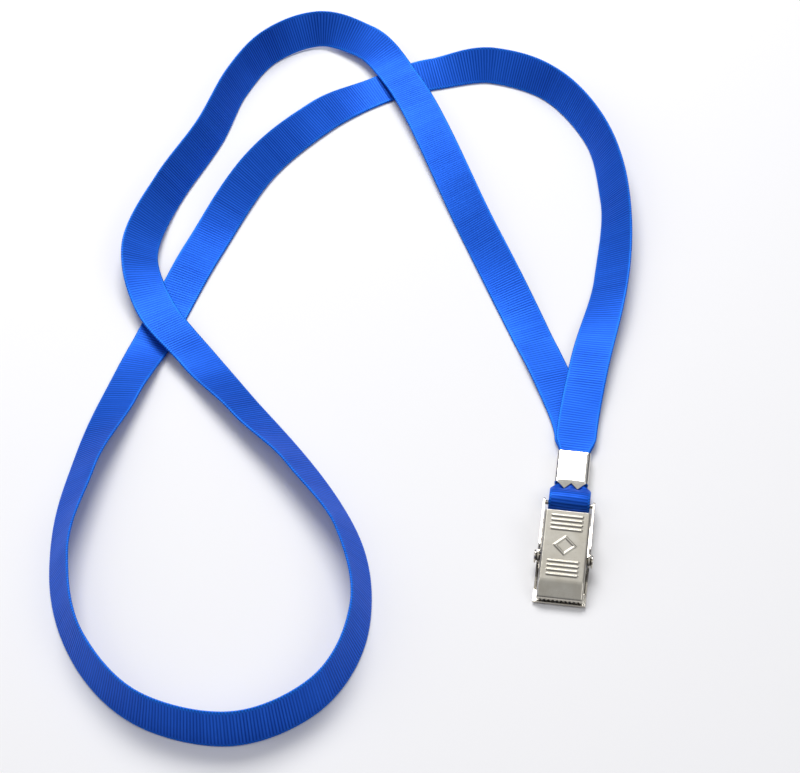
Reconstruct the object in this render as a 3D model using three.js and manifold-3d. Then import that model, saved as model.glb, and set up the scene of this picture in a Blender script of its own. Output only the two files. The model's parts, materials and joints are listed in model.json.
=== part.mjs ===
// Lanyard badge holder: a flat ribbon neck loop, a crimp, and a spring clip that bites on a badge.
//
// Frame: millimetres, +Z up. The clip lies on its back jaw on a flat surface at z = 0. Its width
// runs along X, its jaws point to -Y and the ribbon leaves it to +Y. The origin lies on that
// surface, under the middle of the clip, badge loop and crimp taken together.
//
// Each clip piece is drawn about the rivet's axis: y along the clip, z up, x across it.

import * as THREE from 'three';
import { mergeVertices } from 'three/addons/utils/BufferGeometryUtils.js';
import Module from 'manifold-3d';

const wasm = await Module();
wasm.setup();

// ---------------------------------------------------------------- driving dimensions

const GAP = 0.3;                 // clearance between neighbouring pieces
const OVERLAP = 0.1;             // how far joined parts of one sheet run into each other

const RIBBON_WIDTH = 10;
const RIBBON_THICKNESS = 0.6;
const RIBBON_EDGE = 0.2;         // how far the ribbon's selvedge is rounded over
const RIBBON_CLEARANCE = 0.04;   // keeps a climbing ribbon's edge off the surface
const RIBBON_STEPS = 160;
const RIBBON_COLUMNS = 3;        // flat strips across each face of the ribbon

const JAW_SHEET = 0.45;          // steel of both jaws
const RIVET_HEIGHT = 3.2;        // rivet axis above the resting surface
const RIVET_Y = -10.685;         // puts the origin under the middle of the hardware

const BACK_WIDTH = 12.4;
const BACK_PLATE_REAR = 12.2;
const BACK_LIP_BEND = -7.4;
const BACK_LIP_END = -11.2;
const BACK_LIP_RISE = 0.5;
const BACK_EAR_RADIUS = 2.3;
const SCALLOP_RADIUS = 3.6;
const SCALLOP_DEPTH = 2.6;

const BAR_Y = 16.8;              // strap bar, behind the rivet
const BAR_HEIGHT = 2.35;         // strap bar above the resting surface
const BAR_RADIUS = 0.55;
const ARM_RADIUS = 1.05;         // round end of the arms that hold the bar

const FRONT_WIDTH = BACK_WIDTH - 2 * (JAW_SHEET + GAP);
const JAW_ANGLE = THREE.MathUtils.degToRad(11);   // front plate to back plate, jaws closed
const FRONT_LIFT = 2.3;          // front plate's underside above the rivet axis
const FRONT_REAR = 11.2;
const FRONT_BEND = -6.9;
const FRONT_LIP_LENGTH = 4.1;
const FRONT_LIP_ANGLE = THREE.MathUtils.degToRad(20);
const FRONT_FLANGE_BOTTOM = 0.75;
const FRONT_EAR_RADIUS = 1.9;
const TOOTH_COUNT = 11;
const TOOTH_DEPTH = 0.7;

const RELIEF_HEIGHT = 0.22;      // pressed pattern on the front plate
const RELIEF_WIDTH = 7.4;
const RIB_WIDTH = 0.5;
const RIB_PITCH = 1.15;
const RIB_COUNT = 4;
const RELIEF_CENTRE = 2.2;
const RIB_OFFSET = 5.9;          // middle of each rib field from the middle of the relief
const LOZENGE_LENGTH = 5.2;
const LOZENGE_WIDTH = 5.6;
const LOZENGE_LINE = 0.6;

const RIVET_RADIUS = 0.95;
const RIVET_BORE = 0.5;
const RIVET_HEAD_RADIUS = 1.6;
const RIVET_HEAD_HEIGHT = 0.5;
const HOLE_RADIUS = RIVET_RADIUS + GAP;

const WIRE_RADIUS = 0.3;
const COIL_RADIUS = 1.6;         // middle of the wire
const COIL_PITCH = 0.75;
const COIL_TURNS = 5.5;
const COIL_POINTS_PER_TURN = 12;
const SPRING_STEPS = 104;        // along the whole wire
const SPRING_LEG = 9;

const CRIMP_WIDTH = 8.2;
const CRIMP_HEIGHT = 3.2;
const CRIMP_LENGTH = 9.6;
const CRIMP_SHEET = 0.5;
const CRIMP_CORNER = 0.8;
const CRIMP_SEAM = 0.5;          // slit where the two back flaps meet
const CRIMP_FRONT = 23;          // from the rivet
const CRIMP_TOOTH_COUNT = 2;
const CRIMP_TOOTH_DEPTH = 1.0;
const CRIMP_TOOTH_TILT = THREE.MathUtils.degToRad(8);

const LOOP_WIDTH = 9.4;          // ribbon a little gathered where it goes round the bar
const LOOP_WIDTH_IN_CRIMP = 6.6;
const LOOP_TURN_RADIUS = BAR_RADIUS + GAP + RIBBON_THICKNESS / 2 + 0.8;
const UPPER_PLY_Z = 2.0;         // middle of each ply above the resting surface, in the crimp
const LOWER_PLY_Z = 1.05;

const FLOOR = -RIVET_HEIGHT;     // resting surface, seen from the rivet axis
const CRIMP_REAR = CRIMP_FRONT + CRIMP_LENGTH;
const RIBBON_EXIT_Y = RIVET_Y + CRIMP_REAR + GAP;

const ARC_POINTS = 12;

// Neck ribbon's route, chosen by hand: x, y, lift of its lower edge above the surface, and roll in
// degrees (0 lies flat, a positive roll raises the edge on the right of the direction of travel).
const ROUTE = [
  [0, RIBBON_EXIT_Y, 1.4, 0], [0.2, 34, 1.5, 0], [1.6, 52, 1.9, 6], [5, 82, 0, 28],
  [3.4, 112, 0, 48], [-4, 135, 0, 62], [-17, 151, 0, 62], [-34, 158, 0, 42],
  [-51, 154, 0, 18], [-66, 146, 0, 5], [-80, 132, 0, 22], [-93, 110, 0, 36],
  [-103, 78, 0, 12], [-109, 50, 0, 2], [-114, 26, 0, -18],
  [-118, -1, 0, -42], [-117, -28, 0, -60], [-107, -51, 0, -70], [-90, -65, 0, -74],
  [-68, -67, 0, -74], [-51, -55, 0, -72], [-45, -34, 0, -66], [-51, -11, 0, -54],
  [-66, 9, 0, -42], [-82, 25, 0, -28], [-97, 40, 0.9, -12], [-111, 55, 2.5, -2],
  [-119, 74, 1.5, -24], [-116, 97, 0, -44], [-109, 120, 0, -50], [-105, 141, 0, -58],
  [-98, 157, 0, -60], [-86, 166, 0.4, -50], [-72, 163, 1.6, -26], [-59, 149, 2.2, -6],
  [-31, 93, 0, -26], [-9, 50, 0, 4], [-1.4, 33, 0.2, 0], [-0.1, 27, 0.4, 0],
  [0, RIBBON_EXIT_Y, 0.45, 0],
];

// ---------------------------------------------------------------- materials

const COLOURS = {
  ribbon: { color: 0x1550cf, roughness: 0.62, metalness: 0 },
  plating: { color: 0xbdb8ac, roughness: 0.34, metalness: 1 },
  polished: { color: 0xd6d4cd, roughness: 0.18, metalness: 1 },
  spring: { color: 0x9a978f, roughness: 0.3, metalness: 1 },
};

const material = (name) => new THREE.MeshStandardMaterial(COLOURS[name]);

// ---------------------------------------------------------------- solids

// A closed three.js geometry as a solid that can be cut and joined.
function solid(geometry) {
  const bare = geometry.index ? geometry.toNonIndexed() : geometry.clone();
  bare.deleteAttribute('normal');
  bare.deleteAttribute('uv');
  const merged = mergeVertices(bare, 1e-4);
  return new wasm.Manifold(new wasm.Mesh({
    numProp: 3,
    vertProperties: new Float32Array(merged.attributes.position.array),
    triVerts: new Uint32Array(merged.index.array),
  }));
}

// A cut or joined solid back as a three.js geometry.
function geometryOf(shape) {
  const mesh = shape.getMesh();
  const geometry = new THREE.BufferGeometry();
  geometry.setAttribute('position', new THREE.BufferAttribute(mesh.vertProperties, 3));
  geometry.setIndex(new THREE.BufferAttribute(mesh.triVerts, 1));
  geometry.computeVertexNormals();
  return geometry;
}

const joined = (solids) => solids.reduce((whole, next) => whole.add(next));

function box(width, length, height, x, y, z) {
  return solid(new THREE.BoxGeometry(width, length, height).translate(x, y, z));
}

function shapeOf(points) {
  return new THREE.Shape(points.map(([x, y]) => new THREE.Vector2(x, y)));
}

// An outline in the (x, y) plane, extruded up from z.
function extrudeUp(shape, height, z) {
  const options = { depth: height, bevelEnabled: false, curveSegments: ARC_POINTS };
  return new THREE.ExtrudeGeometry(shape, options).translate(0, 0, z);
}

// An outline in the (y, z) plane, extruded along X about x.
function extrudeAcross(shape, width, x = 0) {
  const turn = new THREE.Matrix4().makeBasis(
    new THREE.Vector3(0, 1, 0), new THREE.Vector3(0, 0, 1), new THREE.Vector3(1, 0, 0));
  return extrudeUp(shape, width, -width / 2).applyMatrix4(turn).translate(x, 0, 0);
}

// An outline in the (x, z) plane, extruded along Y from y.
function extrudeAlong(shape, length, y) {
  return extrudeUp(shape, length, 0).rotateX(Math.PI / 2).translate(0, y + length, 0);
}

// The outline of a sheet whose middle line is given: [y, z] points, thickness both ways.
function stripOutline(line, thickness) {
  const middle = line.map(([y, z]) => new THREE.Vector2(y, z));
  const side = (sign) => middle.map((point, i) => {
    const before = middle[Math.max(i - 1, 0)];
    const after = middle[Math.min(i + 1, middle.length - 1)];
    const into = point.equals(before) ? after.clone().sub(point) : point.clone().sub(before);
    const out = point.equals(after) ? into.clone() : after.clone().sub(point);
    const along = into.normalize().add(out.normalize()).normalize();
    const mitre = thickness / 2 / Math.max(along.dot(out), 0.5);
    return [point.x - along.y * sign * mitre, point.y + along.x * sign * mitre];
  });
  return shapeOf([...side(-1), ...side(1).reverse()]);
}

// Teeth along a sheet's edge, in a plane: base line at 0, tips at -depth, over a width.
function toothOutline(width, count, depth, root) {
  const points = [[width / 2, root], [-width / 2, root], [-width / 2, 0]];
  for (let i = 0; i < count; i += 1) {
    const left = -width / 2 + (i * width) / count;
    points.push([left + width / count / 2, -depth], [left + width / count, 0]);
  }
  return shapeOf(points);
}

function circleHole(radius) {
  const hole = new THREE.Path();
  hole.absarc(0, 0, radius, 0, 2 * Math.PI, true);
  return hole;
}

// ---------------------------------------------------------------- back jaw

// Floor plate with a half-round scallop in its rear edge.
function backPlate() {
  const half = BACK_WIDTH / 2;
  const centre = BACK_PLATE_REAR + SCALLOP_RADIUS - SCALLOP_DEPTH;
  const reach = Math.acos((centre - BACK_PLATE_REAR) / SCALLOP_RADIUS);
  const shape = new THREE.Shape();
  shape.moveTo(-half, BACK_LIP_BEND);
  shape.lineTo(half, BACK_LIP_BEND);
  shape.lineTo(half, BACK_PLATE_REAR);
  shape.absarc(0, centre, SCALLOP_RADIUS, -Math.PI / 2 + reach, -Math.PI / 2 - reach, true);
  shape.lineTo(-half, BACK_PLATE_REAR);
  return solid(extrudeUp(shape, JAW_SHEET, FLOOR));
}

function backLip() {
  const middle = FLOOR + JAW_SHEET / 2;
  const line = [[BACK_LIP_BEND + 1, middle], [BACK_LIP_BEND, middle],
    [BACK_LIP_END, middle + BACK_LIP_RISE]];
  return solid(extrudeAcross(stripOutline(line, JAW_SHEET), BACK_WIDTH));
}

// One side wall: a low flange, an ear round the rivet, and the arm that holds the strap bar.
function backWall(side) {
  const barZ = FLOOR + BAR_HEIGHT;
  const shape = new THREE.Shape();
  shape.moveTo(BACK_LIP_BEND, FLOOR);
  shape.lineTo(BACK_PLATE_REAR, FLOOR);
  shape.lineTo(BACK_PLATE_REAR + 1.2, FLOOR + 0.6);
  shape.lineTo(BAR_Y - 1, barZ - ARM_RADIUS);
  shape.absarc(BAR_Y, barZ, ARM_RADIUS, -Math.PI / 2, Math.PI / 2, false);
  shape.lineTo(4.2, FLOOR + 3);
  shape.absarc(0, 0, BACK_EAR_RADIUS, Math.PI / 18, Math.PI * 0.92, false);
  shape.lineTo(-4.6, FLOOR + 1.3);
  shape.lineTo(BACK_LIP_BEND, FLOOR + 0.6);
  shape.holes.push(circleHole(HOLE_RADIUS), sideWindow());
  return solid(extrudeAcross(shape, JAW_SHEET, side * (BACK_WIDTH - JAW_SHEET) / 2));
}

// Long slit in the side wall, with round ends.
function sideWindow() {
  const radius = 0.42;
  const z = FLOOR + 1.6;
  const hole = new THREE.Path();
  hole.moveTo(5, z + radius);
  hole.absarc(5, z, radius, Math.PI / 2, Math.PI * 1.5, false);
  hole.absarc(10, z, radius, -Math.PI / 2, Math.PI / 2, false);
  return hole;
}

function strapBar() {
  const bar = new THREE.CylinderGeometry(BAR_RADIUS, BAR_RADIUS, BACK_WIDTH - JAW_SHEET, 16);
  return solid(bar.rotateZ(Math.PI / 2).translate(0, BAR_Y, FLOOR + BAR_HEIGHT));
}

const backJaw = () => geometryOf(joined(
  [backPlate(), backLip(), backWall(-1), backWall(1), strapBar()]));

// ---------------------------------------------------------------- front jaw

function frontSheet() {
  const middle = FRONT_LIFT + JAW_SHEET / 2;
  const end = [FRONT_BEND - FRONT_LIP_LENGTH * Math.cos(FRONT_LIP_ANGLE),
    middle - FRONT_LIP_LENGTH * Math.sin(FRONT_LIP_ANGLE)];
  const line = [[FRONT_REAR, middle], [FRONT_BEND, middle], end];
  return { end, sheet: solid(extrudeAcross(stripOutline(line, JAW_SHEET), FRONT_WIDTH)) };
}

// Toothed edge, turned down from the lip's end towards the back jaw.
function frontTeeth([endY, endZ]) {
  const outline = toothOutline(FRONT_WIDTH, TOOTH_COUNT, TOOTH_DEPTH, JAW_SHEET);
  const teeth = extrudeAlong(outline, JAW_SHEET, 0).rotateX(-JAW_ANGLE);
  return solid(teeth.translate(0, endY - OVERLAP, endZ - JAW_SHEET / 2));
}

// One flange along the plate, with an ear round the rivet.
function frontFlange(side) {
  const top = FRONT_LIFT + JAW_SHEET - OVERLAP;
  const onLip = FRONT_LIP_LENGTH * 0.6;
  const lipY = FRONT_BEND - onLip * Math.cos(FRONT_LIP_ANGLE);
  const lipZ = FRONT_LIFT - onLip * Math.sin(FRONT_LIP_ANGLE);
  const shape = new THREE.Shape();
  shape.moveTo(lipY, lipZ + OVERLAP);
  shape.lineTo(FRONT_BEND, FRONT_FLANGE_BOTTOM + 0.3);
  shape.lineTo(-3, FRONT_FLANGE_BOTTOM);
  shape.absarc(0, 0, FRONT_EAR_RADIUS, Math.PI * 0.9, Math.PI * 2.1, false);
  shape.lineTo(3, FRONT_FLANGE_BOTTOM);
  shape.lineTo(FRONT_REAR - 0.7, FRONT_FLANGE_BOTTOM);
  shape.lineTo(FRONT_REAR, FRONT_FLANGE_BOTTOM + 0.7);
  shape.lineTo(FRONT_REAR, top);
  shape.lineTo(FRONT_BEND, top);
  shape.holes.push(circleHole(HOLE_RADIUS));
  return solid(extrudeAcross(shape, JAW_SHEET, side * (FRONT_WIDTH - JAW_SHEET) / 2));
}

function lozenge(growth) {
  const length = LOZENGE_LENGTH / 2 + growth;
  const width = LOZENGE_WIDTH / 2 + growth;
  return shapeOf([[width, 0], [0, length], [-width, 0], [0, -length]]);
}

// Pressed pattern: a field of cross ribs near each end and a lozenge line between them.
function relief() {
  const top = FRONT_LIFT + JAW_SHEET;
  const height = RELIEF_HEIGHT + OVERLAP;
  const pieces = [];
  for (const field of [-1, 1]) {
    for (let i = 0; i < RIB_COUNT; i += 1) {
      const y = RELIEF_CENTRE + field * RIB_OFFSET + (i - (RIB_COUNT - 1) / 2) * RIB_PITCH;
      pieces.push(box(RELIEF_WIDTH, RIB_WIDTH, height, 0, y, top + height / 2 - OVERLAP));
    }
  }
  const ring = lozenge(0);
  ring.holes.push(lozenge(-LOZENGE_LINE));
  pieces.push(solid(extrudeUp(ring, height, top - OVERLAP).translate(0, RELIEF_CENTRE, 0)));
  return joined(pieces);
}

function frontJaw() {
  const { end, sheet } = frontSheet();
  return geometryOf(joined(
    [sheet, frontTeeth(end), frontFlange(-1), frontFlange(1), relief()]));
}

// ---------------------------------------------------------------- rivet and spring

// Hollow rivet along X, rolled over at both ends.
function pivotRivet() {
  const head = BACK_WIDTH / 2 + GAP;
  const rim = head + RIVET_HEAD_HEIGHT;
  const half = [[RIVET_RADIUS, head], [RIVET_HEAD_RADIUS, head],
    [RIVET_HEAD_RADIUS - 0.1, head + 0.3], [RIVET_HEAD_RADIUS - 0.5, rim],
    [RIVET_BORE + 0.2, rim], [RIVET_BORE, head + 0.2]];
  const mirrored = half.map(([radius, x]) => [radius, -x]).reverse();
  const profile = [...half, ...mirrored, half[0]];
  const points = profile.map(([radius, x]) => new THREE.Vector2(radius, x));
  return geometryOf(solid(new THREE.LatheGeometry(points, 24).rotateZ(-Math.PI / 2)));
}

// Torsion spring: one leg on the back plate, a coil round the rivet, one leg under the front plate.
function torsionSpring() {
  const backEnd = FLOOR + JAW_SHEET + GAP + WIRE_RADIUS;
  const frontEnd = FRONT_LIFT - GAP - WIRE_RADIUS;
  const sweep = 2 * Math.PI * COIL_TURNS - JAW_ANGLE;
  const steps = Math.round(COIL_TURNS * COIL_POINTS_PER_TURN);
  const start = -COIL_PITCH * COIL_TURNS / 2;
  const points = [];
  for (const share of [1, 0.75, 0.5, 0.25]) {
    points.push([start, SPRING_LEG * share, -COIL_RADIUS + (backEnd + COIL_RADIUS) * share]);
  }
  for (let i = 0; i <= steps; i += 1) {
    const angle = -Math.PI / 2 - (sweep * i) / steps;
    points.push([start * (1 - (2 * i) / steps),
      COIL_RADIUS * Math.cos(angle), COIL_RADIUS * Math.sin(angle)]);
  }
  for (const share of [0.25, 0.5, 0.75, 1]) {
    const leg = new THREE.Vector3(
      -start, SPRING_LEG * share, COIL_RADIUS + (frontEnd - COIL_RADIUS) * share);
    points.push(leg.applyAxisAngle(new THREE.Vector3(1, 0, 0), JAW_ANGLE).toArray());
  }
  const path = new THREE.CatmullRomCurve3(points.map((p) => new THREE.Vector3(...p)));
  path.arcLengthDivisions = 1200;
  const section = new THREE.Shape().absarc(0, 0, WIRE_RADIUS, 0, 2 * Math.PI, false);
  return new THREE.ExtrudeGeometry(section, {
    steps: SPRING_STEPS, extrudePath: path, curveSegments: 4, bevelEnabled: false,
  });
}

// ---------------------------------------------------------------- crimp

// Section of the folded sheet: a flat tube, open where its two back flaps meet.
function crimpSection() {
  const ring = (shape, inset, clockwise) => {
    const half = CRIMP_WIDTH / 2 - inset;
    const radius = CRIMP_CORNER - inset;
    const low = inset;
    const high = CRIMP_HEIGHT - inset;
    const corners = [[half - radius, low + radius, -90], [half - radius, high - radius, 0],
      [-half + radius, high - radius, 90], [-half + radius, low + radius, 180]];
    const ordered = clockwise ? corners.reverse() : corners;
    for (const [x, z, degrees] of ordered) {
      const from = THREE.MathUtils.degToRad(degrees + (clockwise ? 90 : 0));
      const to = THREE.MathUtils.degToRad(degrees + (clockwise ? 0 : 90));
      shape.absarc(x, z, radius, from, to, clockwise);
    }
  };
  const shape = new THREE.Shape();
  shape.moveTo(CRIMP_SEAM / 2, 0);
  ring(shape, 0, false);
  shape.lineTo(-CRIMP_SEAM / 2, 0);
  shape.lineTo(-CRIMP_SEAM / 2, CRIMP_SHEET);
  ring(shape, CRIMP_SHEET, true);
  shape.lineTo(CRIMP_SEAM / 2, CRIMP_SHEET);
  return shape;
}

// Pointed teeth that lean down from the top plate's front edge on to the ribbon.
function crimpTeeth() {
  const width = CRIMP_WIDTH - 2 * CRIMP_CORNER;
  const outline = toothOutline(width, CRIMP_TOOTH_COUNT, CRIMP_TOOTH_DEPTH, 0.4);
  const teeth = extrudeUp(outline, CRIMP_SHEET * 0.8, 0).rotateX(CRIMP_TOOTH_TILT);
  return solid(teeth.translate(0, CRIMP_FRONT, CRIMP_HEIGHT - CRIMP_SHEET * 0.9));
}

const crimp = () => geometryOf(joined(
  [solid(extrudeAlong(crimpSection(), CRIMP_LENGTH, CRIMP_FRONT)), crimpTeeth()]));

// ---------------------------------------------------------------- badge loop and neck ribbon

// The ribbon's short loop: out of the crimp, round the strap bar and back into the crimp.
function badgeLoop() {
  const turn = new THREE.Vector2(BAR_Y + 0.8, BAR_HEIGHT);
  const inside = CRIMP_REAR - GAP;
  const line = [[inside, UPPER_PLY_Z], [CRIMP_FRONT - 0.9, UPPER_PLY_Z],
    [CRIMP_FRONT - 1.7, UPPER_PLY_Z + 0.3], [CRIMP_FRONT - 3.2, UPPER_PLY_Z + 1.4],
    [CRIMP_FRONT - 4.4, UPPER_PLY_Z + 2.05]];
  for (let i = 0; i <= ARC_POINTS; i += 1) {
    const angle = Math.PI / 2 + (Math.PI * i) / ARC_POINTS;
    line.push([turn.x + LOOP_TURN_RADIUS * Math.cos(angle),
      turn.y + LOOP_TURN_RADIUS * Math.sin(angle)]);
  }
  line.push([CRIMP_FRONT - 3.6, LOWER_PLY_Z - 0.5], [CRIMP_FRONT - 1, LOWER_PLY_Z],
    [inside, LOWER_PLY_Z]);
  const whole = solid(extrudeAcross(stripOutline(line, RIBBON_THICKNESS), LOOP_WIDTH));
  const trimLength = CRIMP_LENGTH + 1;
  const trims = [-1, 1].map((side) => box(2, trimLength, CRIMP_HEIGHT,
    side * (LOOP_WIDTH_IN_CRIMP / 2 + 1), CRIMP_FRONT - GAP + trimLength / 2, CRIMP_HEIGHT / 2));
  return geometryOf(whole.subtract(joined(trims)));
}

// A route whose flat section stands at a stated roll, its lower edge a stated lift off the surface.
class RibbonRoute extends THREE.CatmullRomCurve3 {
  constructor(route) {
    super(route.map(([x, y, lift]) => new THREE.Vector3(x, y, lift)));
    this.rolls = route.map(([, , , roll]) => THREE.MathUtils.degToRad(roll));
    this.arcLengthDivisions = 1600;
  }

  roll(t) {
    const place = t * (this.rolls.length - 1);
    const before = Math.min(Math.floor(place), this.rolls.length - 2);
    const blend = THREE.MathUtils.smoothstep(place - before, 0, 1);
    return THREE.MathUtils.lerp(this.rolls[before], this.rolls[before + 1], blend);
  }

  getPoint(t, target = new THREE.Vector3()) {
    const point = super.getPoint(t, target);
    const roll = this.roll(t);
    const rise = RIBBON_WIDTH * Math.abs(Math.sin(roll)) + RIBBON_THICKNESS * Math.cos(roll);
    point.z = Math.max(point.z, 0) + rise / 2 + RIBBON_CLEARANCE;
    return point;
  }

  computeFrenetFrames(segments) {
    const up = new THREE.Vector3(0, 0, 1);
    const frames = { tangents: [], normals: [], binormals: [] };
    for (let i = 0; i <= segments; i += 1) {
      const tangent = this.getTangentAt(i / segments);
      const across = new THREE.Vector3().crossVectors(tangent, up).normalize();
      across.applyAxisAngle(tangent, -this.roll(this.getUtoTmapping(i / segments)));
      frames.tangents.push(tangent);
      frames.normals.push(across);
      frames.binormals.push(new THREE.Vector3().crossVectors(tangent, across));
    }
    return frames;
  }
}

function neckRibbon() {
  const x = RIBBON_WIDTH / 2;
  const y = RIBBON_THICKNESS / 2;
  const soft = 0.12;
  const face = Array.from({ length: RIBBON_COLUMNS + 1 },
    (_, i) => (x - RIBBON_EDGE) * (1 - (2 * i) / RIBBON_COLUMNS));
  const section = shapeOf([[x, -soft], [x, soft], ...face.map((across) => [across, y]),
    [-x, soft], [-x, -soft], ...face.map((across) => [-across, -y])]);
  return new THREE.ExtrudeGeometry(section, {
    steps: RIBBON_STEPS, extrudePath: new RibbonRoute(ROUTE), bevelEnabled: false,
  });
}

// ---------------------------------------------------------------- assembly

function named(name, geometry, finish) {
  const mesh = new THREE.Mesh(geometry, material(finish));
  mesh.name = name;
  return mesh;
}

const lever = new THREE.Group();
lever.rotation.x = JAW_ANGLE;
lever.add(named('front_jaw', frontJaw(), 'plating'));

const clip = new THREE.Group();
clip.position.set(0, RIVET_Y, RIVET_HEIGHT);
clip.add(
  named('back_jaw', backJaw(), 'plating'),
  named('pivot_rivet', pivotRivet(), 'polished'),
  named('torsion_spring', torsionSpring(), 'spring'),
  lever,
);

const strapEnd = new THREE.Group();
strapEnd.position.set(0, RIVET_Y, 0);
strapEnd.add(
  named('crimp', crimp(), 'polished'),
  named('badge_loop', badgeLoop(), 'ribbon'),
);

const lanyard = new THREE.Group();
lanyard.add(clip, strapEnd, named('neck_ribbon', neckRibbon(), 'ribbon'));

export default lanyard;
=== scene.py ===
"""Looks of the lanyard badge holder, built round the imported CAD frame.

Everything is in metres in the frame of the CAD: the clip lies on its back jaw on z = 0, its width
along X, its jaws towards -Y and the ribbon leaving it towards +Y.
"""

import json
import math

import bmesh
import bpy
import numpy as np
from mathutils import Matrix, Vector


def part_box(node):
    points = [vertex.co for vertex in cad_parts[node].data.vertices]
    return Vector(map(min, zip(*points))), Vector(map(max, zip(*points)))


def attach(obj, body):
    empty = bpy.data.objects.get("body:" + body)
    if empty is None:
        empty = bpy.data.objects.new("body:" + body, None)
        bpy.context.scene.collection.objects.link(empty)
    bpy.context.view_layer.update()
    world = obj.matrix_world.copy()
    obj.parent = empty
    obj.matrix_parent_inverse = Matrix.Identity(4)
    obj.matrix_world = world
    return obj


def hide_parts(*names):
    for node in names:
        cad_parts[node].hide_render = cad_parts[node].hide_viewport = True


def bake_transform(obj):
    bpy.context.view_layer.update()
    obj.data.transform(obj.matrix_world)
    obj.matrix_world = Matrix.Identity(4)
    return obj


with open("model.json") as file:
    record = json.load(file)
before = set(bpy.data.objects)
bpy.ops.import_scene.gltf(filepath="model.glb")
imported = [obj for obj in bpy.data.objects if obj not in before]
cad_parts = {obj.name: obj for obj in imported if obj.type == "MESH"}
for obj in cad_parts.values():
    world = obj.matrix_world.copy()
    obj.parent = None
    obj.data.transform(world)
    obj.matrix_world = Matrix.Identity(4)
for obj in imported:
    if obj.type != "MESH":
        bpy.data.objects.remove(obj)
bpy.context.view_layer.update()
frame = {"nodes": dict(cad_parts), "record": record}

MM = 0.001


def joint(name):
    return next(j for j in frame["record"]["behaviour"]["joints"] if j["name"] == name)


RIVET = np.array(joint("jaw_open")["pos_m"])
STRAP_BAR = np.array(joint("clip_swing")["pos_m"])
RIVET_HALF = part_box("pivot_rivet")[1][0]

CRIMP_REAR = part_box("crimp")[1][1]
CRIMP_LENGTH = 9.6 * MM          # without its teeth
CRIMP_FRONT = CRIMP_REAR - CRIMP_LENGTH
TOOTH_PITCH = 3.2 * MM           # of the crimp's two teeth

# ------------------------------------------------------------------ ribbon sizes

RIBBON_WIDTH = 10 * MM
RIBBON_THICKNESS = 0.6 * MM
RIBBON_CLEARANCE = 0.04 * MM
RIB_PITCH = 0.75 * MM
RIB_HEIGHT = 0.075 * MM
RINGS_PER_RIB = 4
EXIT_Y = CRIMP_REAR + 0.3 * MM

# Route of the neck ribbon, as in the CAD: x, y, lift of the lower edge, and roll in degrees.
ROUTE = [
    (0, EXIT_Y, 0.0014, 0), (0.0002, 0.034, 0.0015, 0), (0.0016, 0.052, 0.0019, 6),
    (0.005, 0.082, 0, 28), (0.0034, 0.112, 0, 48), (-0.004, 0.135, 0, 62), (-0.017, 0.151, 0, 62),
    (-0.034, 0.158, 0, 42), (-0.051, 0.154, 0, 18), (-0.066, 0.146, 0, 5), (-0.08, 0.132, 0, 22),
    (-0.093, 0.11, 0, 36), (-0.103, 0.078, 0, 12), (-0.109, 0.05, 0, 2), (-0.114, 0.026, 0, -18),
    (-0.118, -0.001, 0, -42), (-0.117, -0.028, 0, -60), (-0.107, -0.051, 0, -70),
    (-0.09, -0.065, 0, -74), (-0.068, -0.067, 0, -74), (-0.051, -0.055, 0, -72),
    (-0.045, -0.034, 0, -66), (-0.051, -0.011, 0, -54), (-0.066, 0.009, 0, -42),
    (-0.082, 0.025, 0, -28), (-0.097, 0.04, 0.0009, -12), (-0.111, 0.055, 0.0025, -2),
    (-0.119, 0.074, 0.0015, -24), (-0.116, 0.097, 0, -44), (-0.109, 0.12, 0, -50),
    (-0.105, 0.141, 0, -58), (-0.098, 0.157, 0, -60), (-0.086, 0.166, 0.0004, -50),
    (-0.072, 0.163, 0.0016, -26), (-0.059, 0.149, 0.0022, -6), (-0.031, 0.093, 0, -26),
    (-0.009, 0.05, 0, 4), (-0.0014, 0.033, 0.0002, 0), (-0.0001, 0.027, 0.0004, 0),
    (0, EXIT_Y, 0.00045, 0),
]


# ------------------------------------------------------------------ small tools

def smooth(x):
    x = np.clip(x, 0, 1)
    return x * x * (3 - 2 * x)


def unit(rows):
    return rows / np.linalg.norm(rows, axis=1)[:, None]


def mesh_object(name, points, faces, closed=True):
    """A smooth-shaded mesh, with the faces of a closed one turned outwards."""
    mesh = bpy.data.meshes.new(name)
    mesh.from_pydata([tuple(p) for p in points], [], faces)
    if closed:
        work = bmesh.new()
        work.from_mesh(mesh)
        bmesh.ops.recalc_face_normals(work, faces=work.faces)
        work.to_mesh(mesh)
        work.free()
    mesh.polygons.foreach_set("use_smooth", [True] * len(mesh.polygons))
    mesh.update()
    piece = bpy.data.objects.new(name, mesh)
    bpy.context.scene.collection.objects.link(piece)
    return piece


def point_attribute(piece, name, values):
    layer = piece.data.attributes.new(name, "FLOAT", "POINT")
    layer.data.foreach_set("value", np.asarray(values, np.float32))


def grid_faces(rows, columns, closed):
    """Quads of a grid of rows by columns, the columns joined into a ring if closed."""
    last = columns if closed else columns - 1
    faces = []
    for i in range(rows - 1):
        for j in range(last):
            k = (j + 1) % columns
            faces.append((i * columns + j, i * columns + k,
                          (i + 1) * columns + k, (i + 1) * columns + j))
    return faces


def ring_caps(rows, columns):
    first = tuple(range(columns))
    last = tuple(reversed(range((rows - 1) * columns, rows * columns)))
    return [first, last]


def apply_modifiers(piece):
    """Bakes the piece's modifiers into its mesh."""
    graph = bpy.context.evaluated_depsgraph_get()
    graph.update()
    mesh = bpy.data.meshes.new_from_object(piece.evaluated_get(graph))
    piece.modifiers.clear()
    old = piece.data
    piece.data = mesh
    bpy.data.meshes.remove(old)


# ------------------------------------------------------------------ node helpers

def set_stops(ramp, stops):
    while len(ramp.elements) < len(stops):
        ramp.elements.new(0.5)
    for element, (place, colour) in zip(ramp.elements, stops):
        element.position = place
        element.color = (*colour, 1)


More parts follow.
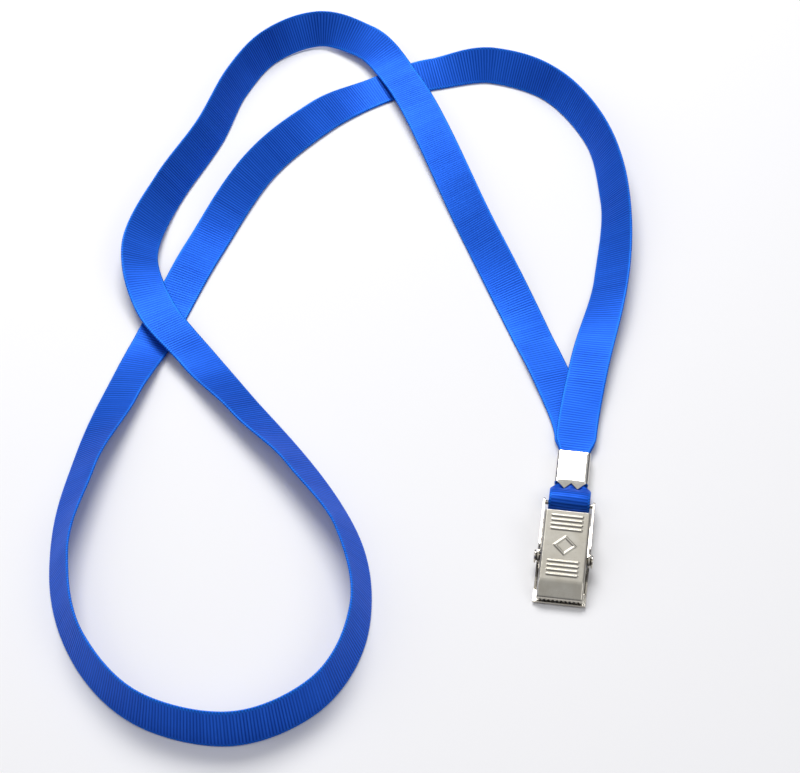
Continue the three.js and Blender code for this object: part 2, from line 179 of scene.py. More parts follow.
class Nodes:
    """A short way to write a material's node tree."""

    def __init__(self, name):
        self.material = bpy.data.materials.new(name)
        self.material.use_nodes = True
        self.tree = self.material.node_tree
        self.shader = self.tree.nodes["Principled BSDF"]

    def add(self, kind, inputs=None, **settings):
        node = self.tree.nodes.new(kind)
        for key, value in settings.items():
            setattr(node, key, value)
        for key, value in (inputs or {}).items():
            self.put(node.inputs[key], value)
        return node

    def put(self, socket, value):
        if isinstance(value, bpy.types.NodeSocket):
            self.tree.links.new(value, socket)
        else:
            socket.default_value = value

    def set(self, **values):
        for key, value in values.items():
            self.put(self.shader.inputs[key.replace("_", " ")], value)

    def attribute(self, name):
        return self.add("ShaderNodeAttribute", attribute_name=name).outputs["Fac"]

    def math(self, operation, *values):
        node = self.add("ShaderNodeMath", operation=operation)
        for socket, value in zip(node.inputs, values):
            self.put(socket, value)
        return node.outputs[0]

    def noise(self, scale, detail=2.0, roughness=0.5):
        inputs = {"Scale": scale, "Detail": detail, "Roughness": roughness,
                  "Vector": self.add("ShaderNodeTexCoord").outputs["Object"]}
        return self.add("ShaderNodeTexNoise", inputs).outputs["Fac"]

    def ramp(self, factor, stops):
        node = self.add("ShaderNodeValToRGB", {"Fac": factor})
        set_stops(node.color_ramp, stops)
        return node.outputs["Color"]

    def mix(self, factor, a, b, blend="MIX"):
        node = self.add("ShaderNodeMix", data_type="RGBA", blend_type=blend)
        for socket, value in ((node.inputs[0], factor), (node.inputs[6], a), (node.inputs[7], b)):
            self.put(socket, (*value, 1) if isinstance(value, tuple) else value)
        return node.outputs[2]

    def bump(self, height, strength, distance):
        return self.add("ShaderNodeBump", {
            "Height": height, "Strength": strength, "Distance": distance}).outputs["Normal"]


# ------------------------------------------------------------------ materials

def ribbon_material():
    """Woven polyester: cross ribs, fine warp threads and a beaded selvedge, with painted shade
    darkening the grooves between the ribs and between the beads.
    """
    n = Nodes("ribbon_weave")
    rib = n.attribute("rib")
    edge = n.attribute("selvedge")
    warp = n.math("SINE", n.math("MULTIPLY", n.attribute("across_mm"), 2 * math.pi / 0.22))
    threads = n.math("MULTIPLY_ADD", warp, 0.5, 0.5)
    cloudy = n.noise(90, 3)
    # painted shade: the base colour darkens from the rib crests down into the grooves between them,
    # following the rib relief
    field = n.ramp(rib, [(0.0, (0.002, 0.024, 0.23)), (0.6, (0.010, 0.082, 0.52)),
                         (0.95, (0.026, 0.158, 0.85))])
    tinted = n.mix(n.math("MULTIPLY", cloudy, 0.35), field, (0.004, 0.040, 0.40))
    # painted shade between the edge beads as well, darker where the rib relief is low
    beads = n.mix(rib, (0.002, 0.020, 0.20), (0.02, 0.19, 0.88))
    height = n.math("ADD", n.math("MULTIPLY", threads, 0.4), n.noise(2600, 2))
    n.set(Base_Color=n.mix(edge, tinted, beads))
    n.set(Roughness=n.math("MULTIPLY_ADD", threads, 0.10, 0.36))
    n.set(Metallic=0.30, Specular_IOR_Level=0.15, Specular_Tint=(0.05, 0.38, 1.0, 1))
    n.set(Sheen_Weight=0.16, Sheen_Roughness=0.35, Sheen_Tint=(0.04, 0.32, 1.0, 1))
    n.set(Normal=n.bump(height, 0.35, 0.05 * MM))
    return n.material


def metal_material(name, colour, roughness, grain, waviness):
    """Plated steel: fine orange peel, faint large waves, stains, painted shade in the hollows and
    rubbed edges.
    """
    n = Nodes(name)
    fine = n.noise(5200, 3, 0.6)
    broad = n.noise(420, 2)
    stain = n.ramp(n.noise(240, 4, 0.6), [(0.35, (0.80, 0.77, 0.72)), (0.7, (1, 1, 1))])
    stained = n.mix(0.6, colour, stain, "MULTIPLY")
    # painted shade: pointiness darkens the base colour in hollows and creases; the lighter convex
    # edges stand for rubbed plating
    curve = n.add("ShaderNodeNewGeometry").outputs["Pointiness"]
    hollow_shade_and_wear = n.ramp(curve, [(0.44, (0.45, 0.43, 0.40)), (0.50, (1, 1, 1)),
                          (0.58, (1.12, 1.12, 1.12))])
    n.set(Base_Color=n.mix(0.8, stained, hollow_shade_and_wear, "MULTIPLY"), Metallic=1.0)
    n.set(Roughness=n.math("MULTIPLY_ADD", fine, grain, roughness))
    height = n.math("MULTIPLY_ADD", broad, waviness, fine)
    n.set(Normal=n.bump(height, 0.6, 0.02 * MM))
    return n.material


RIBBON = ribbon_material()
PLATING = metal_material("satin_nickel", (0.62, 0.595, 0.53), 0.22, 0.16, 2.0)
MIRROR = metal_material("plain_nickel", (0.58, 0.55, 0.49), 0.10, 0.10, 1.5)
POLISHED = metal_material("bright_nickel", (0.80, 0.78, 0.74), 0.13, 0.10, 1.5)
SPRING_STEEL = metal_material("spring_steel", (0.50, 0.49, 0.46), 0.20, 0.15, 1.0)


def floor_material():
    n = Nodes("white_table")
    n.set(Base_Color=n.mix(n.noise(3, 2), (0.87, 0.865, 0.88), (0.90, 0.895, 0.905)))
    n.set(Roughness=0.55)
    return n.material


# ------------------------------------------------------------------ camera, lights and floor

CAMERA_TARGET = np.array([-45.3, 39.4, 0]) * MM
CAMERA_ELEVATION = math.radians(50)
CAMERA_YAW = math.radians(7.5)
CAMERA_DISTANCE = 0.56
CAMERA_LENS = 100


def place_camera():
    level = math.cos(CAMERA_ELEVATION)
    ahead = Vector((-math.sin(CAMERA_YAW) * level, math.cos(CAMERA_YAW) * level,
                    -math.sin(CAMERA_ELEVATION)))
    data = bpy.data.cameras.new("camera")
    data.lens = CAMERA_LENS
    data.sensor_fit = "HORIZONTAL"
    data.sensor_width = 36
    data.clip_start = 0.01
    camera = bpy.data.objects.new("camera", data)
    camera.location = Vector(CAMERA_TARGET) - ahead * CAMERA_DISTANCE
    camera.rotation_euler = ahead.to_track_quat("-Z", "Y").to_euler()
    bpy.context.scene.collection.objects.link(camera)
    bpy.context.scene.camera = camera


def area_light(name, place, size, power):
    data = bpy.data.lights.new(name, "AREA")
    data.shape = "RECTANGLE"
    data.size, data.size_y = size
    data.energy = power
    lamp = bpy.data.objects.new(name, data)
    lamp.location = place
    aim = Vector(CAMERA_TARGET) - Vector(place)
    lamp.rotation_euler = aim.to_track_quat("-Z", "Y").to_euler()
    bpy.context.scene.collection.objects.link(lamp)


def light_scene():
    """A soft studio: a large softbox behind, weak ones at both sides and a room darker low down."""
    area_light("key_softbox", (-0.28, 0.80, 0.95), (0.8, 0.55), 12.0)
    area_light("fill_softbox", (0.75, -0.25, 0.75), (0.5, 0.5), 1.5)
    area_light("left_card", (-0.9, -0.1, 0.6), (0.3, 0.7), 1.3)
    world = bpy.data.worlds.new("studio")
    world.use_nodes = True
    tree = world.node_tree
    place = tree.nodes.new("ShaderNodeTexCoord")
    split = tree.nodes.new("ShaderNodeSeparateXYZ")
    ramp = tree.nodes.new("ShaderNodeValToRGB")
    tree.links.new(place.outputs["Generated"], split.inputs[0])
    tree.links.new(split.outputs["Z"], ramp.inputs["Fac"])
    stops = [(0.0, (0.10, 0.10, 0.11)), (0.22, (0.05, 0.05, 0.055)), (0.45, (0.16, 0.16, 0.18)),
             (0.75, (0.36, 0.37, 0.39)), (1.0, (0.66, 0.66, 0.66))]
    set_stops(ramp.color_ramp, stops)
    background = tree.nodes["Background"]
    tree.links.new(ramp.outputs["Color"], background.inputs["Color"])
    background.inputs["Strength"].default_value = 1.0
    bpy.context.scene.world = world
    bpy.context.scene.view_settings.view_transform = "Standard"


def make_floor():
    half = 3.0
    corners = [(-half, -half, 0), (half, -half, 0), (half, half, 0), (-half, half, 0)]
    floor = mesh_object("table", corners, [(0, 1, 2, 3)], closed=False)
    floor.location.z = -0.02 * MM
    floor.data.materials.append(floor_material())


# ------------------------------------------------------------------ the ribbon's route

def catmull_rom(points, t):
    """A centripetal Catmull-Rom spline through the points, at t from 0 to 1."""
    last = len(points) - 1
    i = min(int(t * last), last - 1)
    w = t * last - i
    p1, p2 = points[i], points[i + 1]
    p0 = points[i - 1] if i else 2 * p1 - p2
    p3 = points[i + 2] if i + 2 <= last else 2 * p2 - p1
    d0, d1, d2 = (np.sum((b - a) ** 2) ** 0.25 for a, b in ((p0, p1), (p1, p2), (p2, p3)))
    m1 = ((p1 - p0) / d0 - (p2 - p0) / (d0 + d1) + (p2 - p1) / d1) * d1
    m2 = ((p2 - p1) / d1 - (p3 - p1) / (d1 + d2) + (p3 - p2) / d2) * d1
    return (p1 + m1 * w + (-3 * p1 + 3 * p2 - 2 * m1 - m2) * w ** 2
            + (2 * p1 - 2 * p2 + m1 + m2) * w ** 3)


def roll_at(t):
    rolls = [row[3] for row in ROUTE]
    place = t * (len(rolls) - 1)
    i = min(int(place), len(rolls) - 2)
    return math.radians(rolls[i] + (rolls[i + 1] - rolls[i]) * float(smooth(place - i)))


def route_line(samples=6000):
    """Centreline and roll of the neck ribbon, evenly spaced along its length."""
    anchors = [np.array(row[:3], float) for row in ROUTE]
    places = np.linspace(0, 1, samples)
    line = np.array([catmull_rom(anchors, t) for t in places])
    roll = np.array([roll_at(t) for t in places])
    rise = RIBBON_WIDTH * np.abs(np.sin(roll)) + RIBBON_THICKNESS * np.cos(roll)
    line[:, 2] = np.maximum(line[:, 2], 0) + rise / 2 + RIBBON_CLEARANCE
    return line, roll


def evenly(line, values, spacing):
    """The line and its values again, at an even spacing."""
    steps = np.linalg.norm(np.diff(line, axis=0), axis=1)
    along = np.concatenate([[0], np.cumsum(steps)])
    count = int(round(along[-1] / spacing))
    places = np.linspace(0, along[-1], count + 1)
    even = np.stack([np.interp(places, along, line[:, k]) for k in range(3)], 1)
    return even, np.interp(places, along, values), places


# ------------------------------------------------------------------ woven ribbon

NECK_SAMPLES = np.array([-1, -0.975, -0.93, -0.86, -0.4, 0.4, 0.86, 0.93, 0.975, 1])
LOOP_SAMPLES = np.concatenate([[-1, -0.975, -0.93], np.linspace(-0.88, 0.88, 37), [0.93, 0.975, 1]])
SELVEDGE = 0.92                  # share of the half width where the beaded edge begins
EDGE_THINNING = 0.45             # the very edge is this thin beside the field
BEAD = 0.06 * MM                 # how far an edge stitch stands out sideways
FULLNESS_LOW = 0.90              # the slackest rib's height beside the fullest


def ribbon_piece(name, line, across, along, width, samples, lift):
    """A ribbon with woven ribs along a line; lift(s) raises the cloth at s, from -1 to 1 across."""
    rows, columns = len(line), 2 * len(samples)
    tangent = unit(np.gradient(line, axis=0))
    normal = np.cross(across, tangent)
    chance = np.random.default_rng(len(line))
    fullness = chance.uniform(FULLNESS_LOW, 1.0, int(along[-1] / RIB_PITCH) + 3)
    slant = 0.10 * MM * np.sin(along / (9 * MM)) + 0.05 * MM * np.sin(along / (2.3 * MM))
    points = np.zeros((rows, columns, 3))
    rib = np.zeros((rows, columns))
    edge = np.zeros((rows, columns))
    place = np.zeros((rows, columns))
    for j in range(columns):
        top = j < len(samples)
        s = samples[j] if top else samples[columns - 1 - j]
        is_edge = abs(s) > SELVEDGE
        phase = (along + slant * s) / RIB_PITCH + (0.5 if is_edge else 0) + 1
        relief = np.sqrt(np.abs(np.sin(math.pi * phase))) * fullness[phase.astype(int)]
        thin = EDGE_THINNING if abs(s) == 1 else 1.0
        depth = (RIBBON_THICKNESS / 2 - RIB_HEIGHT) * thin + relief * RIB_HEIGHT
        bead = math.copysign(BEAD, s) * relief if abs(s) > 0.95 else 0
        reach = np.reshape(width / 2 * s + bead, (-1, 1))
        rise = np.reshape((depth if top else -depth) + lift(s), (-1, 1))
        points[:, j] = line + across * reach + normal * rise
        rib[:, j] = relief
        edge[:, j] = 1.0 if is_edge else 0.0
        place[:, j] = s * RIBBON_WIDTH / 2 / MM
    faces = grid_faces(rows, columns, True) + ring_caps(rows, columns)
    piece = mesh_object(name, points.reshape(-1, 3), faces)
    point_attribute(piece, "rib", rib.ravel())
    point_attribute(piece, "selvedge", edge.ravel())
    point_attribute(piece, "across_mm", place.ravel())
    piece.data.materials.append(RIBBON)
    return piece


TUCK = 1.6 * MM                  # how far each end runs into the crimp
GATHER_LENGTH = 5.5 * MM         # over which the ribbon spreads to its full width
GATHERED_SHARE = 0.72            # of the full width, where it enters the crimp
END_CURL = 0.25 * MM             # how far the edges stand up where it is gathered
WAVE_HEIGHT = 0.07 * MM          # slow waves of the whole cloth
WAVE_RADIAN = 31 * MM
SWAY_HEIGHT = 0.05 * MM          # quicker ones of its edges
SWAY_RADIAN = 4.7 * MM


def make_neck_ribbon():
    line, roll = route_line()
    line = np.vstack([line[0] - [0, TUCK, 0], line, line[-1] - [0, TUCK, 0]])
    roll = np.concatenate([[0], roll, [0]])
    line, roll, along = evenly(line, roll, RIB_PITCH / RINGS_PER_RIB)
    tangent = unit(np.gradient(line, axis=0))
    side = unit(np.cross(tangent, [0, 0, 1.0]))
    up = np.cross(side, tangent)
    turn = roll[:, None]
    across = side * np.cos(turn) + up * np.sin(turn)
    from_end = np.minimum(along, along[-1] - along)
    spread = smooth((from_end - TUCK) / GATHER_LENGTH)
    width = RIBBON_WIDTH * (GATHERED_SHARE + (1 - GATHERED_SHARE) * spread)
    curl = (1 - spread) * END_CURL + WAVE_HEIGHT * np.sin(along / WAVE_RADIAN)
    sway = SWAY_HEIGHT * np.sin(along / SWAY_RADIAN) * spread

    def lift(s):
        return curl * (s * s - 0.33) + sway * s * s

    piece = ribbon_piece("neck_ribbon_weave", line, across, along, width, NECK_SAMPLES, lift)
    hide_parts("neck_ribbon")
    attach(piece, "strap")


LOOP_INSIDE = CRIMP_REAR - 0.3 * MM
LOOP_TURN_Y = STRAP_BAR[1] + 0.8 * MM
LOOP_TURN_RADIUS = 1.95 * MM
UPPER_PLY = 2.0 * MM             # middle of each ply above the table, in the crimp
LOWER_PLY = 1.05 * MM
LOOP_WIDTH_IN_CRIMP = 6.9 * MM
LOOP_SPREAD = 2.9 * MM           # how much wider it is outside
PEAK_HEIGHT = 0.42 * MM          # of the cloth pushed up beside the teeth
PEAK_MIDDLE = CRIMP_FRONT - 1.1 * MM
CROWN = 0.30 * MM                # how far its edges curl down


def loop_line():
    """Middle of the badge loop: out of the crimp, round the strap bar and back underneath."""
    rise = [(0, 0), (0.9, 0.05), (1.8, 0.55), (3.1, 1.6), (4.5, 2.2)]
    corners = [(LOOP_INSIDE, UPPER_PLY)]
    corners += [(CRIMP_FRONT - ahead * MM, UPPER_PLY + up * MM) for ahead, up in rise]
    for angle in np.linspace(math.pi / 2, 1.5 * math.pi, 9):
        corners.append((LOOP_TURN_Y + LOOP_TURN_RADIUS * math.cos(angle),
                        STRAP_BAR[2] + LOOP_TURN_RADIUS * math.sin(angle)))
    corners += [(CRIMP_FRONT - 3.6 * MM, LOWER_PLY - 0.5 * MM),
                (CRIMP_FRONT - 1 * MM, LOWER_PLY), (LOOP_INSIDE, LOWER_PLY)]
    anchors = [np.array([0, y, z]) for y, z in corners]
    return np.array([catmull_rom(anchors, t) for t in np.linspace(0, 1, 1200)])


def make_badge_loop():
    line = loop_line()
    line, _, along = evenly(line, np.zeros(len(line)), RIB_PITCH / 6)
    across = np.tile([1.0, 0, 0], (len(line), 1))
    spread = smooth((CRIMP_FRONT + 0.2 * MM - line[:, 1]) / (2.0 * MM))
    width = LOOP_WIDTH_IN_CRIMP + LOOP_SPREAD * spread
    upper_side = smooth((line[:, 2] - 1.5 * MM) / (0.4 * MM))
    near_teeth = np.exp(-((line[:, 1] - PEAK_MIDDLE) / (1.1 * MM)) ** 2) * upper_side
    crown = CROWN * spread * upper_side

    def lift(s):
        peaks = PEAK_HEIGHT * math.cos(2 * math.pi * s * 4.2 * MM / TOOTH_PITCH)
        return near_teeth * peaks - crown * s ** 4

    piece = ribbon_piece("badge_loop_weave", line, -across, along, width, LOOP_SAMPLES, lift)
    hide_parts("badge_loop")
    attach(piece, "strap")


# ------------------------------------------------------------------ stamped sheets

def rounded(corners, reach, step):
    """A polyline with each inner corner rounded over reach, evenly spaced."""
    corners = [np.array(c, float) for c in corners]
    line = [corners[0]]
    for before, corner, after in zip(corners, corners[1:], corners[2:]):
        into = (before - corner) / np.linalg.norm(before - corner)
        out = (after - corner) / np.linalg.norm(after - corner)
        a, b = corner + into * reach, corner + out * reach
        for w in np.linspace(0, 1, 9):
            line.append((1 - w) ** 2 * a + 2 * w * (1 - w) * corner + w * w * b)
    line.append(corners[-1])
    line = np.array(line)
    along = np.concatenate([[0], np.cumsum(np.linalg.norm(np.diff(line, axis=0), axis=1))])
    places = np.linspace(0, along[-1], int(along[-1] / step) + 1)
    return np.stack([np.interp(places, along, line[:, k]) for k in range(line.shape[1])], 1), places


def triangle_wave(x, pitch):
    """0 at the roots and 1 at the tips of teeth with that pitch, a tip at half a pitch."""
    share = np.mod(x / pitch, 1)
    return 1 - np.abs(2 * share - 1)


def sheet_piece(name, points, rows, columns, thickness, rim, material, body, node):
    """A pressed sheet from a grid of its outer face: thickened inwards, its rim slightly rounded."""
    piece = mesh_object(name, points, grid_faces(rows, columns, False), closed=False)
    solidify = piece.modifiers.new("thickness", "SOLIDIFY")
    solidify.thickness = thickness
    solidify.offset = -1
    bevel = piece.modifiers.new("rim", "BEVEL")
    bevel.width = rim
    bevel.segments = 2
    bevel.limit_method = "ANGLE"
    bevel.angle_limit = math.radians(50)
    apply_modifiers(piece)
    finish_metal(piece, material, body, node)


def finish_metal(piece, material, body, node):
    piece.data.materials.clear()
    piece.data.materials.append(material)
    piece.data.polygons.foreach_set("use_smooth", [True] * len(piece.data.polygons))
    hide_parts(node)
    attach(piece, body)


# ------------------------------------------------------------------ front jaw

JAW_ANGLE = math.radians(11)
JAW_SHEET = 0.45 * MM
FRONT_HALF = 5.45 * MM
FRONT_TOP = 2.75 * MM            # outer face of the plate above the rivet's axis
FRONT_REAR = 11.2 * MM
FRONT_BEND = -6.9 * MM
FRONT_LIP = 4.1 * MM
FRONT_LIP_ANGLE = math.radians(20)
FRONT_FLANGE = 0.75 * MM
FRONT_EAR = 1.9 * MM
FRONT_TEETH = 11
FRONT_TOOTH_DEPTH = 0.7 * MM
FRONT_BEND_RADIUS = 0.6 * MM     # where the plate turns down into its flanges
FLANGE_COLUMNS = 16
BEND_COLUMNS = 6
FLAT_COLUMNS = 105

RELIEF_CENTRE = 2.2 * MM
RELIEF_HEIGHT = 0.22 * MM
RELIEF_EDGE = 0.13 * MM
FIELD_OFFSET = 5.9 * MM          # middle of each field of ribs from the middle of the relief
FIELD_RIBS = 4
FIELD_PITCH = 1.15 * MM
FIELD_HALF_LENGTH = 3.45 * MM    # of a rib, without its round ends
FIELD_RIB_HALF = 0.25 * MM
LOZENGE_LENGTH = 5.2             # in millimetres
LOZENGE_WIDTH = 5.6
LOZENGE_LINE_HALF = 0.24 * MM


def in_lever(points):
    """Points drawn about the rivet with the front plate level, moved to where the jaw rests."""
    c, s = math.cos(JAW_ANGLE), math.sin(JAW_ANGLE)
    x, y, z = points.T
    return np.stack([x, y * c - z * s, y * s + z * c], 1) + RIVET


def soft_step(distance, edge):
    """1 inside a shape and 0 outside, from its signed distance."""
    return smooth(0.5 - distance / (2 * edge))


def relief(x, y):
    """Height of the pressed pattern: two fields of cross ribs and a lozenge line between them."""
    height = np.zeros(np.broadcast(x, y).shape)
    for field in (-1, 1):
        for i in range(FIELD_RIBS):
            middle = (RELIEF_CENTRE + field * FIELD_OFFSET
                      + (i - (FIELD_RIBS - 1) / 2) * FIELD_PITCH)
            beyond = np.maximum(np.abs(x) - FIELD_HALF_LENGTH, 0)
            distance = np.hypot(beyond, y - middle) - FIELD_RIB_HALF
            height = np.maximum(height, soft_step(distance, RELIEF_EDGE))
    lozenge = (np.abs(x) * LOZENGE_LENGTH + np.abs(y - RELIEF_CENTRE) * LOZENGE_WIDTH
               - LOZENGE_WIDTH * LOZENGE_LENGTH / 2 * MM)
    lozenge = lozenge / math.hypot(LOZENGE_WIDTH, LOZENGE_LENGTH)
    ring = np.abs(lozenge + 0.3 * MM) - LOZENGE_LINE_HALF
    return RELIEF_HEIGHT * np.maximum(height, soft_step(ring, RELIEF_EDGE))


def flange_depth(y):
    """How far the side flange reaches below the plate's outer face, along the plate."""
    depth = np.full(len(y), FRONT_TOP - FRONT_FLANGE)
    ear = FRONT_TOP + np.sqrt(np.maximum(FRONT_EAR ** 2 - y ** 2, 0))
    near_ear = smooth((FRONT_EAR + 0.35 * MM - np.abs(y)) / (0.5 * MM))
    depth = depth + (ear - depth) * near_ear
    rear = smooth((FRONT_REAR - y) / (0.9 * MM))
    depth = depth - (1 - rear) * 0.9 * MM
    lip = smooth((FRONT_BEND - y + 0.6 * MM) / (3.2 * MM))
    return depth + (0.5 * MM - depth) * lip


def front_jaw_columns():
    """The plate from side to side, flange, bend, flat, bend and flange: each column has its x and
    what it hangs below the outer face, a share of the flange's depth plus a fixed drop."""
    half = []
    for k in range(FLANGE_COLUMNS):
        share = k / FLANGE_COLUMNS
        half.append((FRONT_HALF, 1 - share, FRONT_BEND_RADIUS * share))
    for k in range(BEND_COLUMNS):
        angle = math.pi / 2 * k / BEND_COLUMNS
        x = FRONT_HALF - FRONT_BEND_RADIUS * (1 - math.cos(angle))
        half.append((x, 0, FRONT_BEND_RADIUS * (1 - math.sin(angle))))
    flat_half = FRONT_HALF - FRONT_BEND_RADIUS
    flat = [(x, 0, 0) for x in np.linspace(-flat_half, flat_half, FLAT_COLUMNS)]
    return [(-x, share, drop) for x, share, drop in half] + flat + half[::-1]


def make_front_jaw():
    """The pressed plate: outer face from the rear end, over the bend and lip to the teeth."""
    lip_dir = np.array([-math.cos(FRONT_LIP_ANGLE), -math.sin(FRONT_LIP_ANGLE)])
    tooth_dir = np.array([-math.sin(JAW_ANGLE), -math.cos(JAW_ANGLE)])
    bend = np.array([FRONT_BEND, FRONT_TOP])
    lip_end = bend + lip_dir * (FRONT_LIP + 0.1 * MM)
    tip = lip_end + tooth_dir * (JAW_SHEET + FRONT_TOOTH_DEPTH)
    outline = [(FRONT_REAR, FRONT_TOP), bend, lip_end, tip]
    profile, along = rounded(outline, 0.45 * MM, 0.1 * MM)
    roots = along[-1] - FRONT_TOOTH_DEPTH
    depth = flange_depth(profile[:, 0])
    columns = front_jaw_columns()
    points = np.zeros((len(columns), len(along), 3))
    for i, (x, share, drop) in enumerate(columns):
        tooth = triangle_wave(x + FRONT_HALF, 2 * FRONT_HALF / FRONT_TEETH)
        reach = along + (along > roots) * (along - roots) * (tooth - 1)
        y = np.interp(reach, along, profile[:, 0])
        z = np.interp(reach, along, profile[:, 1])
        hang = np.minimum(np.maximum(depth, FRONT_BEND_RADIUS) * share + drop, depth)
        pressed = relief(x, y) * (y > FRONT_BEND + 0.3 * MM)
        points[i] = np.stack([np.full(len(y), x), y, z - hang + pressed], 1)
    sheet_piece("front_jaw_plate", in_lever(points.reshape(-1, 3)), len(columns), len(along),
                JAW_SHEET, 0.05 * MM, PLATING, "lever", "front_jaw")


# ------------------------------------------------------------------ back jaw

def make_back_jaw():
    """The channel with its arms and bar: bent edges well rounded, cut edges slightly broken."""
    mesh = frame["nodes"]["back_jaw"].data.copy()
    piece = bpy.data.objects.new("back_jaw_channel", mesh)
    bpy.context.scene.collection.objects.link(piece)
    low, high = (Vector(corner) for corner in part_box("back_jaw"))
    work = bmesh.new()
    work.from_mesh(mesh)
    bmesh.ops.remove_doubles(work, verts=work.verts, dist=0.001 * MM)
    bmesh.ops.dissolve_limit(work, angle_limit=math.radians(0.5), verts=work.verts, edges=work.edges)
    weight = work.edges.layers.float.new("bevel_weight_edge")
    near = 0.03 * MM
    for edge in work.edges:
        if len(edge.link_faces) != 2 or edge.calc_face_angle(0) < math.radians(28):
            continue
        a, b = (v.co for v in edge.verts)
        outer = all(abs(abs(p.x) - high.x) < near and abs(p.z - low.z) < near for p in (a, b))
        inner = all(abs(abs(p.x) - high.x + JAW_SHEET) < near
                    and abs(p.z - low.z - JAW_SHEET) < near for p in (a, b))
        edge[weight] = 1.0 if outer else 0.3 if inner else 0.12
    work.to_mesh(mesh)
    work.free()
    bevel = piece.modifiers.new("edges", "BEVEL")
    bevel.limit_method = "WEIGHT"
    bevel.width = 0.5 * MM
    bevel.segments = 4
    normals = piece.modifiers.new("shading", "WEIGHTED_NORMAL")
    normals.keep_sharp = True
    apply_modifiers(piece)
    finish_metal(piece, MIRROR, "clip_body", "back_jaw")
    piece.data.set_sharp_from_angle(angle=math.radians(32))


# ------------------------------------------------------------------ rivet and spring

RIVET_RADIUS = 0.95 * MM
RIVET_BORE = 0.5 * MM
RIVET_HEAD = 0.5 * MM            # height of the rolled head
RIM_MIDDLE = 1.22 * MM           # of the head's round rim, from the axis
RIM_REACH = 0.38 * MM
RIVET_SEGMENTS = 56


def make_rivet():
    """A hollow rivet along X whose ends are rolled over into round rims."""
    head = RIVET_HALF - RIVET_HEAD
    half = [(RIVET_RADIUS, head), (1.5 * MM, head)]
    for angle in np.linspace(-math.pi / 2, math.pi, 16)[1:]:
        half.append((RIM_MIDDLE + RIM_REACH * math.cos(angle),
                     head + RIVET_HEAD / 2 * (1 + math.sin(angle))))
    half += [(0.66 * MM, head - 0.1 * MM), (RIVET_BORE, head - 0.5 * MM)]
    outline = half + [(radius, -x) for radius, x in reversed(half)]
    points = []
    for radius, x in outline:
        for angle in np.linspace(0, 2 * math.pi, RIVET_SEGMENTS, endpoint=False):
            points.append((x, RIVET[1] + radius * math.cos(angle),
                           RIVET[2] + radius * math.sin(angle)))
    faces = grid_faces(len(outline), RIVET_SEGMENTS, True)
    last = (len(outline) - 1) * RIVET_SEGMENTS
    for k in range(RIVET_SEGMENTS):
        n = (k + 1) % RIVET_SEGMENTS
        faces.append((last + k, k, n, last + n))
    piece = mesh_object("pivot_rivet_rolled", points, faces)
    finish_metal(piece, POLISHED, "clip_body", "pivot_rivet")


WIRE_RADIUS = 0.3 * MM
WIRE_SEGMENTS = 12
COIL_RADIUS = 1.6 * MM           # middle of the wire
COIL_PITCH = 0.75 * MM
COIL_TURNS = 5.5
COIL_STEPS = 66
SPRING_LEG = 9 * MM
BACK_LEG_END = -2.15 * MM        # each leg's end above the rivet, its plate lying level
FRONT_LEG_END = 1.7 * MM


def spring_line():
    """Middle of the spring's wire: a leg, the coil about the rivet and the other leg."""
    start = -COIL_PITCH * COIL_TURNS / 2
    sweep = 2 * math.pi * COIL_TURNS - JAW_ANGLE
    line = [(start, SPRING_LEG * w, -COIL_RADIUS + (BACK_LEG_END + COIL_RADIUS) * w)
            for w in (1, 0.75, 0.5, 0.25)]
    for i in range(COIL_STEPS + 1):
        angle = -math.pi / 2 - sweep * i / COIL_STEPS
        line.append((start * (1 - 2 * i / COIL_STEPS),
                     COIL_RADIUS * math.cos(angle), COIL_RADIUS * math.sin(angle)))
    c, s = math.cos(JAW_ANGLE), math.sin(JAW_ANGLE)
    for w in (0.25, 0.5, 0.75, 1):
        y, z = SPRING_LEG * w, COIL_RADIUS + (FRONT_LEG_END - COIL_RADIUS) * w
        line.append((-start, y * c - z * s, y * s + z * c))
    return [np.array(p) + RIVET for p in line]


def make_spring():
    anchors = spring_line()
    line = np.array([catmull_rom(anchors, t) for t in np.linspace(0, 1, 4000)])
    line, _, _ = evenly(line, np.zeros(len(line)), 0.11 * MM)
    tangent = unit(np.gradient(line, axis=0))
    side = np.cross(tangent[0], [1.0, 0, 0])
    rings = []
    for centre, along in zip(line, tangent):
        side = side - along * np.dot(side, along)
        side = side / np.linalg.norm(side)
        other = np.cross(along, side)
        for angle in np.linspace(0, 2 * math.pi, WIRE_SEGMENTS, endpoint=False):
            out = math.cos(angle) * side + math.sin(angle) * other
            rings.append(centre + WIRE_RADIUS * out)
    faces = grid_faces(len(line), WIRE_SEGMENTS, True) + ring_caps(len(line), WIRE_SEGMENTS)
    piece = mesh_object("torsion_spring_wire", rings, faces)
    piece.data.materials.append(SPRING_STEEL)
    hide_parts("torsion_spring")
    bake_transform(piece)


# ------------------------------------------------------------------ crimp

CRIMP_HALF = 4.1 * MM
CRIMP_HEIGHT = 3.2 * MM
CRIMP_CORNER = 0.8 * MM
CRIMP_SEAM_HALF = 0.25 * MM
CRIMP_SHEET = 0.42 * MM
TOOTH_ROOT = 0.35 * MM           # the teeth's roots and tips beyond the crimp's front edge
TOOTH_TIP = 1.9 * MM
TOOTH_BEND = CRIMP_FRONT + 0.5 * MM
TOOTH_BEND_LENGTH = 0.9 * MM
TOOTH_CURVE = 0.24               # fall along the bend, then the slope beyond it
TOOTH_SLOPE = 0.42
TOOTH_SHORTENING = 0.2           # of its length seen from above
TEETH_HALF = 3.35 * MM           # outer edge of the row of teeth
PILLOW = 0.09 * MM
PINCH = 0.03                     # how much flatter the two open ends are
END_LENGTH = 1.2 * MM            # over which they flatten


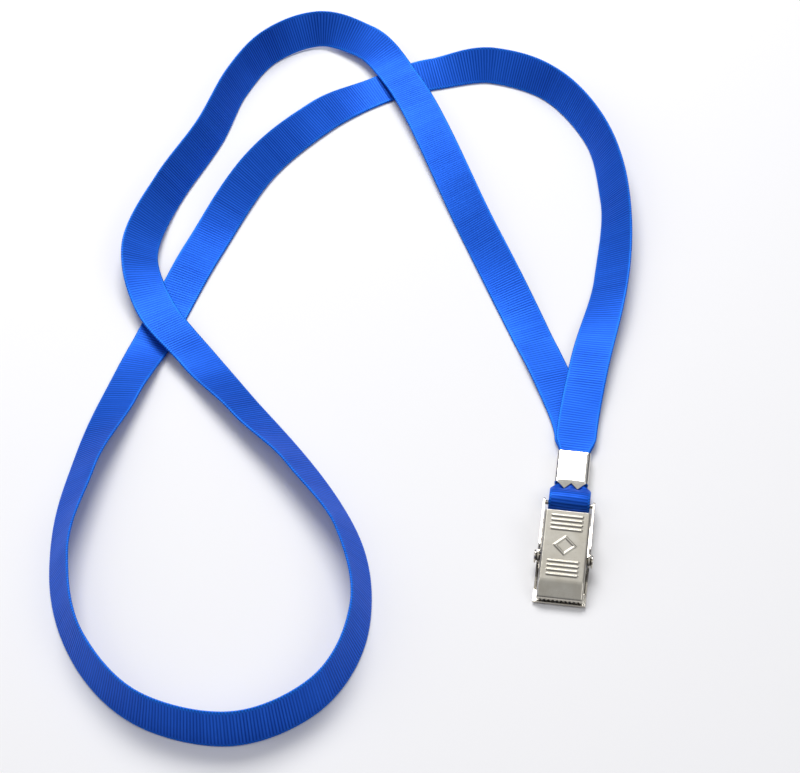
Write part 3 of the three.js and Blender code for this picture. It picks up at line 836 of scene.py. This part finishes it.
def crimp_section(count):
    """The folded sheet's outer face as x and z, from seam to seam over the top."""
    section = [(-CRIMP_SEAM_HALF, 0)]
    side, top = CRIMP_HALF - CRIMP_CORNER, CRIMP_HEIGHT - CRIMP_CORNER
    corners = [(-side, CRIMP_CORNER, -90), (-side, top, -180), (side, top, -270),
               (side, CRIMP_CORNER, -360)]
    for x, z, start in corners:
        for angle in np.radians(np.linspace(start, start - 90, 9)):
            section.append((x + CRIMP_CORNER * math.cos(angle), z + CRIMP_CORNER * math.sin(angle)))
    section.append((CRIMP_SEAM_HALF, 0))
    section = np.array(section)
    steps = np.linalg.norm(np.diff(section, axis=0), axis=1)
    along = np.concatenate([[0], np.cumsum(steps)])
    places = np.linspace(0, along[-1], count)
    return [(np.interp(p, along, section[:, 0]), np.interp(p, along, section[:, 1]))
            for p in places]


def make_crimp():
    """A sheet folded round the ribbons: a pillowed top, a seam below and teeth bent on to the loop."""
    section = crimp_section(231)
    share = np.linspace(0, 1, 75)
    points = np.zeros((len(section), len(share), 3))
    for i, (x, z) in enumerate(section):
        flat = smooth((z - CRIMP_HEIGHT + 0.25 * MM) / (0.2 * MM))
        on_top = float(flat * smooth((TEETH_HALF - abs(x)) / (0.3 * MM)))
        tooth = float(triangle_wave(x + TOOTH_PITCH, TOOTH_PITCH))
        reach = on_top * (TOOTH_ROOT + (TOOTH_TIP - TOOTH_ROOT) * tooth)
        y = CRIMP_REAR - share * (CRIMP_LENGTH + reach)
        over = np.maximum(TOOTH_BEND - y, 0)
        curved = np.minimum(over, TOOTH_BEND_LENGTH)
        fall = TOOTH_CURVE * curved ** 2 / TOOTH_BEND_LENGTH + TOOTH_SLOPE * (over - curved)
        from_end = np.minimum(CRIMP_REAR - y, np.maximum(y - CRIMP_FRONT, 0) + 0.5 * MM)
        inner = smooth(from_end / END_LENGTH)
        y = np.where(over > 0, TOOTH_BEND - over * (1 - TOOTH_SHORTENING * on_top), y)
        pillow = PILLOW * (1 - (x / CRIMP_HALF) ** 2) * on_top
        pinch = PINCH * (CRIMP_HEIGHT / 2 - z) * (1 - inner)
        height = z + pinch + pillow * inner - on_top * fall
        points[i] = np.stack([np.full(len(y), x), y, height], 1)
    sheet_piece("crimp_fold", points.reshape(-1, 3), len(section), len(share), CRIMP_SHEET,
                0.06 * MM, POLISHED, "strap", "crimp")


# ------------------------------------------------------------------ build

place_camera()
light_scene()
make_floor()
make_neck_ribbon()
make_badge_loop()
make_crimp()
make_front_jaw()
make_back_jaw()
make_rivet()
make_spring()
